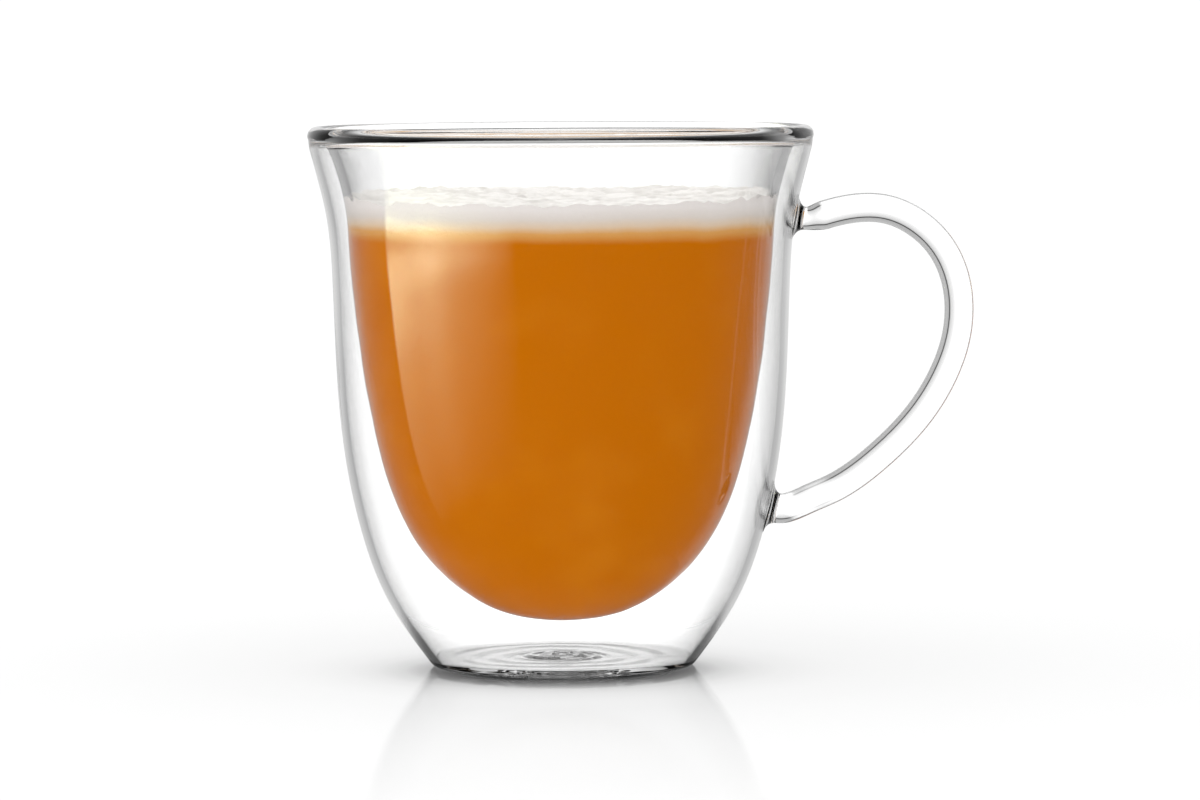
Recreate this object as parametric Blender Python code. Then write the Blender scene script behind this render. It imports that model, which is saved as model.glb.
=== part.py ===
"""A double-walled glass mug of latte: clear glass with a rod handle, milk coffee, a cap of foam.

For Blender 4.5, in metres with +Z up. The mug's own axis is the Z axis and its foot stands on
z = 0. The handle lies in the XZ plane, on the +X side.
"""

import math

import bmesh
import bpy
import numpy as np

# Round parts: facets in a full turn, the gap kept between two bodies that touch, the distance at
# which points become one, and the angle in degrees above which an edge stays sharp.
SEGMENTS = 44
SEAL_SEGMENTS = 16
TOUCH_GAP = 0.0003
MERGE = 0.000001
SHARP_ANGLE = 50.0

# Outer wall: (radius, height) up its outside, from the foot's rounded corner to the rim.
OUTER_WALL = (
    (0.0266, 0.0008),
    (0.0310, 0.0068),
    (0.0362, 0.0158),
    (0.0401, 0.0268),
    (0.0430, 0.0400),
    (0.0449, 0.0588),
    (0.0456, 0.0770),
    (0.0469, 0.0908),
    (0.0488, 0.0988),
    (0.0501, 0.1038),
)
OUTER_THICKNESS = 0.0015
OUTER_RINGS = 18

# Foot: a flat disc with a rounded corner, thickened to a boss round the vent in its middle.
FOOT_RADIUS = 0.0250
FOOT_THICKNESS = 0.0020
BOSS_RADIUS = 0.0080
BOSS_RISE = 0.0018
BOSS_RINGS = 5
VENT_RADIUS = 0.0018

# Liner: (radius, height) up the side that faces the air gap, from its lowest point to its top.
LINER = (
    (0.0000, 0.0092),
    (0.0040, 0.0094),
    (0.0117, 0.0108),
    (0.0221, 0.0168),
    (0.0292, 0.0248),
    (0.0347, 0.0368),
    (0.0384, 0.0528),
    (0.0407, 0.0728),
    (0.0423, 0.0848),
    (0.0432, 0.0928),
    (0.0450, 0.0988),
    (0.0460, 0.1026),
)
# Liner thickness at these heights: a heavier bottom, and a heavier shoulder where it meets the rim.
THICKNESS_HEIGHTS = (0.0092, 0.0300, 0.0928, 0.1026)
THICKNESSES = (0.0020, 0.0016, 0.0016, 0.0024)
LINER_RINGS = 17

# Rim: the bead that joins both walls, the shoulder where the liner turns out to meet it, and the
# round top of the air gap. Each arc is its start and end angle in degrees and its points.
BEAD_RADIUS = 0.0487
BEAD_HEIGHT = 0.1061
BEAD_TUBE = 0.0017
BEAD_ARC = (185.0, -20.0, 8)
SHOULDER_TUBE = 0.0021
SHOULDER_ARC = (165.0, 95.0, 4)
GAP_TOP_ARC = (36.0, 144.0, 4)

# Handle: a round rod, (out from the mug's axis, height) along its centre line, the top end first.
HANDLE_ROUTE = (
    (0.0533, 0.0900),
    (0.0588, 0.0911),
    (0.0650, 0.0908),
    (0.0709, 0.0881),
    (0.0760, 0.0829),
    (0.0786, 0.0769),
    (0.0793, 0.0700),
    (0.0784, 0.0639),
    (0.0765, 0.0586),
    (0.0712, 0.0498),
    (0.0636, 0.0419),
    (0.0540, 0.0351),
    (0.0490, 0.0329),
)
ROD_RADIUS = 0.00290
ROD_SIDES = 12
ROD_RINGS = 44
RING_CROWDING = 0.7

# Handle joints: where each end meets the outer wall, its neck, and how far its foot spreads.
TOP_JOINT = {"height": 0.0893, "neck": 0.0023, "spread": 0.0032}
LOW_JOINT = {"height": 0.0316, "neck": 0.0030, "spread": 0.0023}
NECK_LENGTH = 0.0040
JOINT_REACH = 0.0020
JOINT_DEPTH = 0.0008

# Drink: the level where the coffee ends and the foam starts, and the foam's rough top.
DRINK_LEVEL = 0.0876
FOAM_TOP = 0.0937
FOAM_BACK_RISE = 0.0009
FOAM_EDGE_RISE = 0.0008
FOAM_SIDE_RINGS = 3
FOAM_TOP_RINGS = 11
# Folds in the foam's top: height, length, direction in degrees and offset of each wave.
FOAM_FOLDS = (
    (0.00036, 0.0210, 78.0, 0.4),
    (0.00030, 0.0150, 12.0, 2.3),
    (0.00024, 0.0105, 118.0, 4.1),
    (0.00018, 0.0082, 52.0, 1.2),
)


def spline(knots, count):
    """Points on the natural cubic curve through the knots, evenly spread along its length."""
    knots = np.array(knots, float)
    gaps = np.linalg.norm(np.diff(knots, axis=0), axis=1)
    stops = np.concatenate([[0.0], np.cumsum(gaps)])
    matrix = np.eye(len(knots))
    pull = np.zeros_like(knots)
    for i in range(1, len(knots) - 1):
        matrix[i, i - 1 : i + 2] = gaps[i - 1], 2 * (gaps[i - 1] + gaps[i]), gaps[i]
        pull[i] = 6 * (knots[i + 1] - knots[i]) / gaps[i] - 6 * (knots[i] - knots[i - 1]) / gaps[i - 1]
    bend = np.linalg.solve(matrix, pull)
    where = np.linspace(0.0, stops[-1], count)
    span = np.clip(np.searchsorted(stops, where) - 1, 0, len(gaps) - 1)
    width = gaps[span][:, None]
    back = (stops[span + 1] - where)[:, None] / width
    ahead = 1 - back
    curved = (back**3 - back) * bend[span] + (ahead**3 - ahead) * bend[span + 1]
    return back * knots[span] + ahead * knots[span + 1] + curved * width**2 / 6


def arc(centre, radius, start, end, count):
    """Points on a circle's arc in the profile plane, angles in degrees from the +radius side."""
    turn = np.radians(np.linspace(start, end, count))
    return np.stack([centre[0] + radius * np.cos(turn), centre[1] + radius * np.sin(turn)], axis=1)


def left_normals(curve):
    """Unit normals of a profile curve, on the left of its direction."""
    along = np.gradient(curve, axis=0)
    along /= np.linalg.norm(along, axis=1)[:, None]
    return np.stack([-along[:, 1], along[:, 0]], axis=1)


def liner_faces():
    """The liner's two faces, each from its lowest point up: the gap's side and the drink's."""
    gap_side = spline(LINER, LINER_RINGS)
    thickness = np.interp(gap_side[:, 1], THICKNESS_HEIGHTS, THICKNESSES)
    drink_side = gap_side + left_normals(gap_side) * thickness[:, None]
    drink_side[0, 0] = 0.0
    return gap_side, drink_side


def drink_outline():
    """The side that the coffee and the foam share, clear of the liner by the gap."""
    _, drink_side = liner_faces()
    outline = drink_side + left_normals(drink_side) * TOUCH_GAP
    outline[0, 0] = 0.0
    return outline


def radius_at(outline, level):
    """The radius of a rising outline at a height."""
    return np.interp(level, outline[:, 1], outline[:, 0])


def stretch(outline, low, high, count):
    """Points of a rising outline between two heights, both ends included."""
    heights = np.linspace(low, high, count)
    return np.stack([radius_at(outline, heights), heights], axis=1)


def glass_profile():
    """The whole section of the glass: liner, rim, outer wall, foot, vent and the gap's walls."""
    gap_side, drink_side = liner_faces()
    top = drink_side[-1]
    shoulder = arc((top[0] + SHOULDER_TUBE, top[1]), SHOULDER_TUBE, *SHOULDER_ARC)
    bead = arc((BEAD_RADIUS, BEAD_HEIGHT), BEAD_TUBE, *BEAD_ARC)
    outer = spline(OUTER_WALL, OUTER_RINGS)
    corner_turn = math.degrees(math.atan2(*(outer[1] - outer[0])[::-1]))
    corner_tube = (OUTER_WALL[0][0] - FOOT_RADIUS) / math.sin(math.radians(corner_turn))
    corner = arc((FOOT_RADIUS, corner_tube), corner_tube, corner_turn - 90.0, -90.0, 4)[1:]
    vent = [(VENT_RADIUS, 0.0)]
    boss_radii = np.linspace(VENT_RADIUS, BOSS_RADIUS, BOSS_RINGS)
    swell = 0.5 + 0.5 * np.cos(math.pi * boss_radii / BOSS_RADIUS)
    boss = np.stack([boss_radii, FOOT_THICKNESS + BOSS_RISE * swell], axis=1)
    far_side = outer + left_normals(outer) * OUTER_THICKNESS
    far_side = stretch(far_side, FOOT_THICKNESS, gap_side[-1, 1], OUTER_RINGS)
    gap_width = far_side[-1, 0] - gap_side[-1, 0]
    gap_middle = (gap_side[-1, 0] + gap_width / 2, gap_side[-1, 1])
    gap_top = arc(gap_middle, gap_width / 2, *GAP_TOP_ARC)
    return np.vstack(
        [drink_side, shoulder, bead, outer[::-1], corner, vent, boss, far_side]
        + [gap_top, gap_side[::-1]]
    )


def material(name, colour, roughness, transmission=0.0, ior=1.45):
    """A Principled material of one finish."""
    made = bpy.data.materials.new(name)
    made.use_nodes = True
    shader = made.node_tree.nodes["Principled BSDF"]
    shader.inputs["Base Color"].default_value = (*colour, 1.0)
    shader.inputs["Roughness"].default_value = roughness
    shader.inputs["Metallic"].default_value = 0.0
    shader.inputs["Transmission Weight"].default_value = transmission
    shader.inputs["IOR"].default_value = ior
    return made


def new_object(name, bm, finish=None):
    """A named object from a bmesh, its faces pointing out and its round sides smooth."""
    bmesh.ops.remove_doubles(bm, verts=bm.verts, dist=MERGE)
    bmesh.ops.recalc_face_normals(bm, faces=bm.faces)
    mesh = bpy.data.meshes.new(name)
    bm.to_mesh(mesh)
    bm.free()
    mesh.shade_smooth()
    mesh.set_sharp_from_angle(angle=math.radians(SHARP_ANGLE))
    if finish:
        mesh.materials.append(finish)
    made = bpy.data.objects.new(name, mesh)
    bpy.context.scene.collection.objects.link(made)
    return made


def turned(profile, segments=SEGMENTS):
    """A closed bmesh turned round the Z axis from a profile of (radius, height) points."""
    bm = bmesh.new()
    verts = [bm.verts.new((radius, 0.0, height)) for radius, height in profile]
    edges = [bm.edges.new(pair) for pair in zip(verts, verts[1:])]
    bmesh.ops.spin(
        bm,
        geom=verts + edges,
        cent=(0.0, 0.0, 0.0),
        axis=(0.0, 0.0, 1.0),
        angle=math.tau,
        steps=segments,
        use_merge=True,
    )
    return bm


def wall_point(height):
    """A point on the outer wall at a height, and the direction out of the wall there."""
    outer = spline(OUTER_WALL, 200)
    row = int(np.argmin(np.abs(outer[:, 1] - height)))
    return outer[row], -left_normals(outer)[row]


def handle_centre_line(joints):
    """The rod's centre line from inside the upper joint to inside the lower, and its run."""
    ends = [(point - out * JOINT_DEPTH, point + out * JOINT_REACH) for point, out in joints]
    fine = spline([*ends[0], *HANDLE_ROUTE, *reversed(ends[1])], 400)
    run = np.concatenate([[0.0], np.cumsum(np.linalg.norm(np.diff(fine, axis=0), axis=1))])
    # Rings crowd towards the joints, where the rod flares into the wall.
    share = np.linspace(0.0, 1.0, ROD_RINGS)
    share = share - RING_CROWDING * np.sin(math.tau * share) / math.tau
    run_at = share * run[-1]
    line = np.stack([np.interp(run_at, run, fine[:, axis]) for axis in (0, 1)], axis=1)
    return line, run_at


def rod_radius(from_wall, joint):
    """The rod's radius by its distance from a wall: a fillet, then a neck, then the full rod."""
    fillet = np.clip(1 - from_wall / JOINT_REACH, 0.0, 1.0)
    flare = joint["spread"] * (1 - np.sqrt(1 - fillet**2))
    growth = np.clip((from_wall - JOINT_REACH) / NECK_LENGTH, 0.0, 1.0)
    eased = growth * growth * (3 - 2 * growth)
    return joint["neck"] + (ROD_RADIUS - joint["neck"]) * eased + flare


def handle():
    """The handle's rod, as a closed tube whose ends stop inside the outer wall."""
    joints = [wall_point(joint["height"]) for joint in (TOP_JOINT, LOW_JOINT)]
    line, run = handle_centre_line(joints)
    from_top = run - JOINT_DEPTH
    from_low = run[-1] - run - JOINT_DEPTH
    nearer_top = from_top < from_low
    radii = np.where(nearer_top, rod_radius(from_top, TOP_JOINT), rod_radius(from_low, LOW_JOINT))
    across = left_normals(line)
    # At each joint the rings turn to lie along the wall, fully so within half the joint's reach.
    for from_wall, (_, out), facing in zip((from_top, from_low), joints, (1, -1)):
        turn = np.clip(1.5 - from_wall / JOINT_REACH, 0.0, 1.0)[:, None]
        across = across * (1 - turn) + facing * np.array([-out[1], out[0]]) * turn
    across /= np.linalg.norm(across, axis=1)[:, None]
    bm = bmesh.new()
    rings = []
    for centre, side, radius in zip(line, across, radii):
        ring = []
        for step in range(ROD_SIDES):
            turn = math.tau * step / ROD_SIDES
            reach = radius * math.cos(turn)
            place = (centre[0] + side[0] * reach, radius * math.sin(turn), centre[1] + side[1] * reach)
            ring.append(bm.verts.new(place))
        rings.append(ring)
    for ring, following in zip(rings, rings[1:]):
        for step in range(ROD_SIDES):
            beside = (step + 1) % ROD_SIDES
            bm.faces.new((ring[step], ring[beside], following[beside], following[step]))
    bm.faces.new(rings[0])
    bm.faces.new(rings[-1])
    return new_object("handle_rod", bm)


def glass():
    """The mug: both walls, the rim, the foot and the handle as one piece of glass."""
    finish = material("clear_glass", (1.0, 1.0, 1.0), 0.0, transmission=1.0, ior=1.47)
    made = new_object("glass", turned(glass_profile()), finish)
    rod = handle()
    rod.hide_render = True
    rod.display_type = "WIRE"
    join = made.modifiers.new("fused_handle", "BOOLEAN")
    join.operation = "UNION"
    join.solver = "EXACT"
    join.object = rod
    return made


def vent_seal():
    """The drop of glass that closes the vent in the foot, flush below and domed above."""
    radius = VENT_RADIUS - TOUCH_GAP
    dome = arc((0.0, FOOT_THICKNESS + BOSS_RISE), radius, 90.0, 0.0, 5)
    profile = np.vstack([dome, [(radius, 0.0), (0.0, 0.0)]])
    finish = material("seal_glass", (1.0, 1.0, 1.0), 0.05, transmission=1.0, ior=1.47)
    return new_object("vent_seal", turned(profile, SEAL_SEGMENTS), finish)


def latte():
    """The milk coffee, from the bottom of the liner up to the foam."""
    outline = drink_outline()
    top = DRINK_LEVEL - TOUCH_GAP / 2
    below = outline[outline[:, 1] < top - TOUCH_GAP]
    profile = np.vstack([below, [(radius_at(outline, top), top), (0.0, top)]])
    return new_object("latte", turned(profile), material("milk_coffee", (0.50, 0.15, 0.012), 0.35))


def foam_relief(x, y, radius):
    """How far the foam's top stands above its mean level: higher behind and at the glass."""
    height = FOAM_BACK_RISE * y / radius + FOAM_EDGE_RISE * (x / radius) ** 4
    for fold, length, degrees, offset in FOAM_FOLDS:
        turn = math.radians(degrees)
        height += fold * math.sin(math.tau * (x * math.cos(turn) + y * math.sin(turn)) / length + offset)
    return height


def foam():
    """The cap of milk foam, flat below and with low folds in its top."""
    outline = drink_outline()
    bottom = DRINK_LEVEL + TOUCH_GAP / 2
    side_heights = np.linspace(bottom, FOAM_TOP, FOAM_SIDE_RINGS + 1)
    side = np.stack([radius_at(outline, side_heights), side_heights], axis=1)
    radii = np.linspace(side[-1, 0], 0.0, FOAM_TOP_RINGS)[1:]
    top = np.stack([radii, np.full(len(radii), FOAM_TOP)], axis=1)
    bm = turned(np.vstack([[(0.0, bottom)], side, top]))
    for vert in bm.verts:
        if vert.co.z > FOAM_TOP - MERGE:
            vert.co.z += foam_relief(vert.co.x, vert.co.y, side[-1, 0])
    return new_object("foam", bm, material("milk_foam", (0.86, 0.80, 0.74), 0.6))


def clear_scene():
    """Removes every object from the scene."""
    for old in list(bpy.data.objects):
        bpy.data.objects.remove(old)


def main():
    """Builds the mug and what it holds."""
    clear_scene()
    glass()
    vent_seal()
    latte()
    foam()


main()
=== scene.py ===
"""The looks of a double-walled glass mug of latte with a cap of milk foam.

Blender 4.5, in metres, +Z up along the mug's axis, the handle towards +X. The mug's sizes repeat
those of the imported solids, so each finished piece lies where its solid does.
"""

from __future__ import annotations

import logging
import math
from dataclasses import dataclass
from enum import Enum
from typing import Any, Callable, Optional, Sequence, Union

import bmesh
import bpy
import numpy as np
from mathutils import Matrix

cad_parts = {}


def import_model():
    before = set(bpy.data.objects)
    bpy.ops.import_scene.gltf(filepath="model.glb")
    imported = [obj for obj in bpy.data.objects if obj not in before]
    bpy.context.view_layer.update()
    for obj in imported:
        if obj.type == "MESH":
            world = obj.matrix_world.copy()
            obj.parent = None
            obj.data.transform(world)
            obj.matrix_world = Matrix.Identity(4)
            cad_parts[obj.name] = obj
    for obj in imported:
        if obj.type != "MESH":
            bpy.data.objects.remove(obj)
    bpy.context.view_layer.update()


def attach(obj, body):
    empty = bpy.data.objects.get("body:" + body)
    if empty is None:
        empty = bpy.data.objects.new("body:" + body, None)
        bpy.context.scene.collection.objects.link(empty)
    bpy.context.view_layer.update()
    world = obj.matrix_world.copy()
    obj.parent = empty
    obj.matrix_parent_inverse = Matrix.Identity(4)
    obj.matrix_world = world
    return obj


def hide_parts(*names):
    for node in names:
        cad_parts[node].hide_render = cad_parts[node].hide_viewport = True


LOG = logging.getLogger("latte")
SHARP_FROM = math.radians(50.0)
Knots = tuple[tuple[float, ...], ...]
Pair = tuple[float, float]
Triple = tuple[float, float, float]
Colour = Triple
Socket = bpy.types.NodeSocket
Feed = Union[float, Sequence[float], Socket]


class Slot(Enum):
    """The record's material slots."""

    CLEAR_GLASS = "clear_glass"
    SEAL_GLASS = "seal_glass"
    MILK_COFFEE = "milk_coffee"
    MILK_FOAM = "milk_foam"


# Curves and surfaces


def spline(knots: Sequence[Sequence[float]], count: int) -> np.ndarray:
    """Runs a smooth curve through knots.

    The curve is the natural cubic spline by chord length: on each span it is the straight line
    between the two knots plus (s^3 - s) of each end's bend, where s is the share of the span.

    Args:
        knots: the points that the curve passes through.
        count: the number of points wanted.

    Returns:
        Points spread evenly along the chords, one row each.
    """
    points = np.array(knots, float)
    gaps = np.linalg.norm(np.diff(points, axis=0), axis=1)
    stops = np.concatenate([[0.0], np.cumsum(gaps)])
    matrix = np.eye(len(points))
    inner = np.arange(1, len(points) - 1)
    matrix[inner, inner - 1] = gaps[:-1]
    matrix[inner, inner] = 2 * (gaps[:-1] + gaps[1:])
    matrix[inner, inner + 1] = gaps[1:]
    slopes = np.diff(points, axis=0) / gaps[:, None]
    pull = np.zeros_like(points)
    pull[1:-1] = 6 * np.diff(slopes, axis=0)
    bend = np.linalg.solve(matrix, pull)
    where = np.linspace(0.0, stops[-1], count)
    span = np.clip(np.searchsorted(stops, where) - 1, 0, len(gaps) - 1)
    width = gaps[span][:, None]
    back = (stops[span + 1] - where)[:, None] / width
    ahead = 1 - back
    curved = (back**3 - back) * bend[span] + (ahead**3 - ahead) * bend[span + 1]
    return back * points[span] + ahead * points[span + 1] + curved * width**2 / 6


def arc(centre: Sequence[float], radius: float, start: float, end: float, count: int) -> np.ndarray:
    """Points on a circle's arc in the profile plane, angles in degrees from the +radius side."""
    turn = np.radians(np.linspace(start, end, count))
    return np.stack([centre[0] + radius * np.cos(turn), centre[1] + radius * np.sin(turn)], axis=1)


def left_normals(curve: np.ndarray) -> np.ndarray:
    """Unit normals of a profile curve, on the left of its direction."""
    along = np.gradient(curve, axis=0)
    along /= np.linalg.norm(along, axis=1)[:, None]
    return np.stack([-along[:, 1], along[:, 0]], axis=1)


def radius_at(outline: np.ndarray, level: float | np.ndarray) -> float | np.ndarray:
    """The radius of a rising outline at one or more heights."""
    return np.interp(level, outline[:, 1], outline[:, 0])


def smooth_step(low: float, high: float, value: np.ndarray) -> np.ndarray:
    """Eases from 0 at low to 1 at high as 3 s^2 - 2 s^3."""
    share = np.clip((value - low) / (high - low), 0.0, 1.0)
    return share * share * (3 - 2 * share)


def gradient_noise(x: np.ndarray, y: np.ndarray, seed: int) -> np.ndarray:
    """Smooth noise with one swell for about each unit of x and y.

    Each lattice point has a random slope. Its plane is weighed by the eased distance to it, and
    the four nearest planes are added up, which gives values of about -0.7 to 0.7.

    Args:
        x: first coordinates.
        y: second coordinates, of the same shape.
        seed: picks the lattice's slopes.

    Returns:
        The noise, of the same shape.
    """
    size = 64
    turns = np.random.default_rng(seed).uniform(0.0, math.tau, (size, size))
    column, row = np.floor(x).astype(int), np.floor(y).astype(int)
    u, v = x - column, y - row
    ease_u, ease_v = (t * t * t * (t * (t * 6 - 15) + 10) for t in (u, v))
    total = np.zeros_like(x, float)
    for step_u in (0, 1):
        for step_v in (0, 1):
            turn = turns[(column + step_u) % size, (row + step_v) % size]
            plane = np.cos(turn) * (u - step_u) + np.sin(turn) * (v - step_v)
            weight_u = ease_u if step_u else 1 - ease_u
            weight_v = ease_v if step_v else 1 - ease_v
            total += plane * weight_u * weight_v
    return total


def revolve(profile: np.ndarray, sides: int) -> np.ndarray:
    """Turns a profile of (radius, height) round the Z axis into a grid of points, profile first."""
    turn = np.arange(sides) * math.tau / sides
    radius, height = profile[:, 0, None], profile[:, 1, None]
    return np.stack([radius * np.cos(turn), radius * np.sin(turn), height + 0 * turn], axis=2)


def skin(name: str, rows: np.ndarray, caps: bool = True) -> bpy.types.Object:
    """Covers rows of points, each row a ring, with quads, and closes both ends with a fan.

    The enclosed volume is the sum over triangles of a . (b x c) / 6. Where it comes out negative
    the faces are turned round, so that they point outwards.

    Args:
        name: the object's name.
        rows: points of shape (rings, sides, 3). A first or last ring of no size becomes a pole.
        caps: True to close both ends.

    Returns:
        The object, smooth all over.
    """
    rings, sides = rows.shape[:2]
    here = np.arange(sides)
    beside = (here + 1) % sides
    base = (np.arange(rings - 1) * sides)[:, None]
    quads = np.stack(
        [base + here, base + beside, base + sides + beside, base + sides + here], axis=2
    ).reshape(-1, 4)
    points = rows.reshape(-1, 3)
    faces = quads.tolist()
    if caps:
        last = (rings - 1) * sides
        first_hub, last_hub = len(points), len(points) + 1
        points = np.vstack([points, rows[0].mean(axis=0), rows[-1].mean(axis=0)])
        faces += [[first_hub, b, a] for a, b in zip(here.tolist(), beside.tolist())]
        faces += [[last_hub, last + a, last + b] for a, b in zip(here.tolist(), beside.tolist())]
    a, b, c, d = (points[quads[:, i]] for i in range(4))
    volume = np.einsum("ij,ij->i", a, np.cross(b, c)) + np.einsum("ij,ij->i", a, np.cross(c, d))
    mesh = bpy.data.meshes.new(name)
    mesh.from_pydata(points.tolist(), [], faces)
    if volume.sum() < 0:
        mesh.flip_normals()
    piece = bpy.data.objects.new(name, mesh)
    bpy.context.scene.collection.objects.link(piece)
    weld(piece)
    return piece


def weld(piece: bpy.types.Object, distance: float = 1e-7) -> None:
    """Merges points that lie on each other, so that poles are single points, and smooths."""
    bm = bmesh.new()
    bm.from_mesh(piece.data)
    bmesh.ops.remove_doubles(bm, verts=bm.verts, dist=distance)
    bmesh.ops.dissolve_degenerate(bm, edges=bm.edges, dist=distance)
    bm.to_mesh(piece.data)
    bm.free()
    piece.data.shade_smooth()


# Shader nodes


class Sheet:
    """A node tree that is being drawn: adds nodes with their values and joins their sockets."""

    def __init__(self, tree: bpy.types.NodeTree) -> None:
        """Takes the tree to draw in."""
        self.tree = tree

    def node(self, kind: str, inputs: Optional[dict] = None, **settings: Any) -> bpy.types.Node:
        """Adds a node.

        Args:
            kind: the node's type.
            inputs: for each input, by name or number, a value or the socket that feeds it.
            settings: the node's own settings.

        Returns:
            The node.
        """
        made = self.tree.nodes.new(kind)
        for key, value in settings.items():
            setattr(made, key, value)
        self.feed(made, inputs or {})
        return made

    def feed(self, node: bpy.types.Node, inputs: dict) -> None:
        """Sets a node's inputs, by name or number, or joins them to the sockets given."""
        for key, value in inputs.items():
            if isinstance(value, Socket):
                self.tree.links.new(value, node.inputs[key])
            else:
                node.inputs[key].default_value = value

    def math(self, operation: str, *values: Feed) -> Socket:
        """Adds a Math node on up to three numbers, and gives its result."""
        return self.node("ShaderNodeMath", dict(enumerate(values)), operation=operation).outputs[0]

    def vector(self, operation: str, first: Feed, second: Feed) -> Socket:
        """Adds a Vector Math node on two vectors or colours, and gives its vector."""
        values = {0: first, 1: second}
        return self.node("ShaderNodeVectorMath", values, operation=operation).outputs[0]

    def scaled(self, colour: Feed, factor: Feed) -> Socket:
        """Multiplies a colour by a number, and gives the colour."""
        values = {0: colour, "Scale": factor}
        return self.node("ShaderNodeVectorMath", values, operation="SCALE").outputs[0]

    def dot(self, first: Feed, second: Feed) -> Socket:
        """Gives two vectors' dot product."""
        values = {0: first, 1: second}
        return self.node("ShaderNodeVectorMath", values, operation="DOT_PRODUCT").outputs["Value"]

    def length(self, vector: Feed) -> Socket:
        """Gives a vector's length."""
        return self.node("ShaderNodeVectorMath", {0: vector}, operation="LENGTH").outputs["Value"]

    def parts(self, vector: Feed) -> list[Socket]:
        """Splits a vector into its three parts."""
        return list(self.node("ShaderNodeSeparateXYZ", {0: vector}).outputs)

    def share(self, value: Feed, start: Feed, end: Feed) -> Socket:
        """Gives how far a value is from start to end, held between 0 and 1."""
        values = {"Value": value, "From Min": start, "From Max": end}
        return self.node("ShaderNodeMapRange", values).outputs[0]

    def mix(self, share: Feed, first: Feed, second: Feed) -> Socket:
        """Mixes two colours by a share, and gives the colour."""
        values = {0: share, 6: first, 7: second}
        return self.node("ShaderNodeMix", values, data_type="RGBA").outputs[2]

    def blend(self, share: Feed, first: Feed, second: Feed) -> Socket:
        """Mixes two numbers by a share, and gives the number."""
        return self.node("ShaderNodeMix", {0: share, 2: first, 3: second}).outputs[0]

    def ramp(self, value: Feed, stops: Knots, kind: str = "LINEAR") -> Socket:
        """Adds a ramp of grey or coloured stops and gives its colour.

        Args:
            value: what the ramp reads, from 0 to 1.
            stops: (place, level) or (place, red, green, blue) for each stop.
            kind: how the ramp goes from stop to stop.

        Returns:
            The colour socket.
        """
        made = self.node("ShaderNodeValToRGB", {0: value})
        made.color_ramp.interpolation = kind
        elements = made.color_ramp.elements
        while len(elements) < len(stops):
            elements.new(0.5)
        for element, (place, *levels) in zip(elements, stops):
            element.position = place
            element.color = (*(levels if len(levels) == 3 else 3 * levels), 1.0)
        return made.outputs[0]


def group(name: str, inputs: dict[str, str], outputs: dict[str, str]) -> bpy.types.NodeTree:
    """Starts a shader node group.

    Args:
        name: the group's name.
        inputs: each input's kind of socket, by its name.
        outputs: each output's kind of socket, by its name.

    Returns:
        The group, with its input and output nodes in place.
    """
    made = bpy.data.node_groups.new(name, "ShaderNodeTree")
    for way, sockets in (("INPUT", inputs), ("OUTPUT", outputs)):
        for label, kind in sockets.items():
            made.interface.new_socket(label, in_out=way, socket_type=f"NodeSocket{kind}")
    made.nodes.new("NodeGroupInput")
    made.nodes.new("NodeGroupOutput")
    return made


def uneven_group() -> bpy.types.NodeTree:
    """A mask of soft uneven patches, for glass ripples and for milk that isn't quite mixed.

    Two noises are added, the second at three times the scale and half the weight.
    """
    inputs = {"Vector": "Vector", "Scale": "Float", "Stretch": "Float"}
    tree = group("uneven_patches", inputs, {"Mask": "Float"})
    sheet = Sheet(tree)
    source, target = tree.nodes["Group Input"], tree.nodes["Group Output"]
    stretch = sheet.node("ShaderNodeCombineXYZ", {0: 1.0, 1: 1.0, 2: source.outputs["Stretch"]})
    place = sheet.vector("MULTIPLY", source.outputs["Vector"], stretch.outputs[0])
    scale = source.outputs["Scale"]
    broad = sheet.node("ShaderNodeTexNoise", {"Vector": place, "Scale": scale, "Detail": 1.0})
    tripled = sheet.math("MULTIPLY", scale, 3.0)
    fine = sheet.node("ShaderNodeTexNoise", {"Vector": place, "Scale": tripled, "Detail": 1.0})
    half = sheet.math("MULTIPLY", fine.outputs["Fac"], 0.5)
    total = sheet.math("ADD", broad.outputs["Fac"], half)
    mask = sheet.math("DIVIDE", total, 1.5)
    tree.links.new(mask, target.inputs["Mask"])
    return tree


def head_group() -> bpy.types.NodeTree:
    """The blend of coffee into foam at the side of the glass, shared by both pieces.

    The share of foam is a soft step in height, whose line a noise lifts and lowers a little, and
    the foam itself goes from golden through beige to off-white. That off-white is kept darker than
    the foam's top, painted shade on the side of the cap.
    """
    inputs = {"Vector": "Vector", "Coffee": "Color", "Low": "Float", "High": "Float"}
    tree = group("foam_into_coffee", {**inputs, "Wander": "Float"}, {"Colour": "Color"})
    sheet = Sheet(tree)
    source, target = tree.nodes["Group Input"], tree.nodes["Group Output"]
    vector = source.outputs["Vector"]
    noise = sheet.node("ShaderNodeTexNoise", {"Vector": vector, "Scale": 90.0, "Detail": 2.0})
    lift = sheet.math("SUBTRACT", noise.outputs["Fac"], 0.5)
    height = sheet.math("MULTIPLY_ADD", lift, source.outputs["Wander"], sheet.parts(vector)[2])
    share = sheet.share(height, source.outputs["Low"], source.outputs["High"])
    coffee_end, foam_start = (0.10, 0.0), (0.42, 1.0)
    foam_share = sheet.ramp(share, (coffee_end, foam_start), "EASE")
    golden, beige = (0.40, 0.72, 0.36, 0.10), (0.56, 0.75, 0.57, 0.40)
    # Painted shade: the side's off-white stays darker than the foam's top.
    pale, off_white = (0.76, 0.75, 0.68, 0.62), (1.0, 0.85, 0.80, 0.77)
    foam = sheet.ramp(share, (golden, beige, pale, off_white))
    blend = sheet.mix(foam_share, source.outputs["Coffee"], foam)
    tree.links.new(blend, target.inputs["Colour"])
    return tree


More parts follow.
